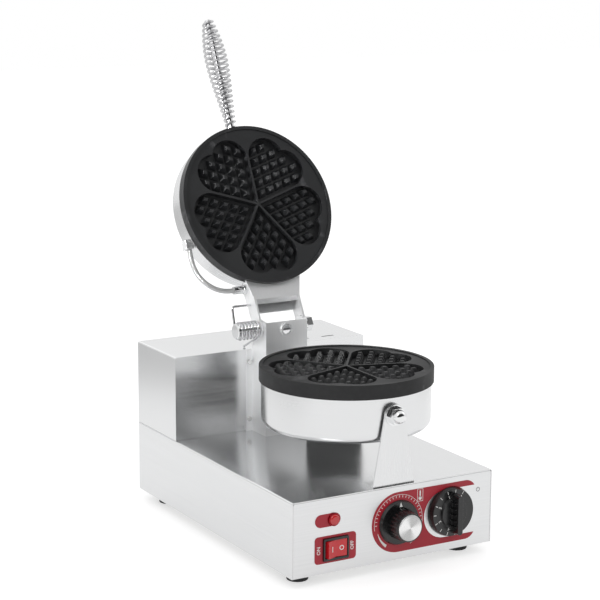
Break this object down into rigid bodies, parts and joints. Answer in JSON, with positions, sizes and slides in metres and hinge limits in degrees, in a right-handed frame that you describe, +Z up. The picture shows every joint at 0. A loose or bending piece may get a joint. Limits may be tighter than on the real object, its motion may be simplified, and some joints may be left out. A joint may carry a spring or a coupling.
{
  "type": "commercial waffle maker",
  "caption": "Counter-top waffle maker: steel base with a control panel, round heart-patterned plates in a fixed pan and a hinged lid with a coil handle.",
  "frame": {"origin": "on the table, under the middle of the overall width and of the overall depth with the lid open", "axes": "+X to the right of someone facing the controls, +Y to the back, +Z up"},
  "size_m": [0.25, 0.4512, 0.558],
  "materials": {
    "brushed_steel": "satin, brushed",
    "polished_steel": "bright",
    "bright_steel": "plated",
    "chrome": "polished",
    "nonstick": "black non-stick coating, satin",
    "element_steel": "dull",
    "insulation": "mineral mat",
    "rubber": "matt",
    "red_overlay": "printed film",
    "control_metal": "plain",
    "black_plastic": "semi-gloss",
    "red_plastic": "gloss",
    "red_lens": "clear red",
    "white_plastic": "matt",
    "lead_armour": "wound metal hose",
    "spun_aluminium": "spun"
  },
  "bodies": {
    "base": {"base_shell": "brushed_steel", "front_panel": "brushed_steel", "bottom_plate": "brushed_steel", "rear_housing": "brushed_steel", "hinge_stand": "polished_steel", "rear_carrier": "brushed_steel", "front_bracket": "brushed_steel", "lower_shell": "brushed_steel", "lower_plate": "nonstick", "lower_element": "element_steel", "lower_reflector": "element_steel", "lower_insulation": "insulation", "lower_tie_screws": "bright_steel", "bracket_bolt": "bright_steel", "bracket_spacer": "bright_steel", "bracket_washer": "chrome", "bracket_cap_nut": "chrome", "bracket_screws": "bright_steel", "stand_screws": "bright_steel", "hinge_pin": "chrome", "hinge_nut": "chrome", "hinge_spring": "chrome", "rubber_feet": "rubber", "foot_screws": "bright_steel", "control_overlay": "red_overlay", "switch_overlay": "red_overlay", "lamp_overlay": "red_overlay", "thermostat_body": "control_metal", "timer_body": "control_metal", "switch_housing": "black_plastic", "lamp_body": "chrome", "lamp_lens": "red_lens", "terminal_block": "white_plastic", "cable_gland": "black_plastic"},
    "lid": {"lid_shell": "brushed_steel", "lid_plate": "nonstick", "lid_element": "element_steel", "lid_reflector": "element_steel", "lid_insulation": "insulation", "lid_tie_screws": "bright_steel", "lid_bracket": "polished_steel", "lid_lead": "lead_armour", "lead_elbow": "polished_steel", "lead_connector": "polished_steel", "spring_lid_leg": "chrome", "handle_rod": "chrome", "handle_nut": "bright_steel", "handle_ferrule": "chrome", "handle_coil": "chrome"},
    "thermostat_dial": {"thermostat_shaft": "bright_steel", "thermostat_knob": "black_plastic", "thermostat_cap": "spun_aluminium"},
    "timer_dial": {"timer_shaft": "bright_steel", "timer_knob": "black_plastic"},
    "rocker": {"switch_rocker": "red_plastic"}
  },
  "joints": [
    {"name": "lid_hinge", "type": "hinge", "parent": "base", "child": "lid", "pos_m": [0, 0.04323, 0.218], "axis": [1, 0, 0], "range_deg": [0, 116]},
    {"name": "thermostat_turn", "type": "hinge", "parent": "base", "child": "thermostat_dial", "pos_m": [0.0045, -0.20127, 0.0535], "axis": [0, 1, 0], "range_deg": [0, 270]},
    {"name": "timer_turn", "type": "hinge", "parent": "base", "child": "timer_dial", "pos_m": [0.07, -0.20127, 0.0555], "axis": [0, 1, 0], "range_deg": [0, 300]},
    {"name": "rocker_tip", "type": "hinge", "parent": "base", "child": "rocker", "pos_m": [-0.073, -0.19827, 0.038], "axis": [0, 0, 1], "range_deg": [-16, 0]}
  ]
}
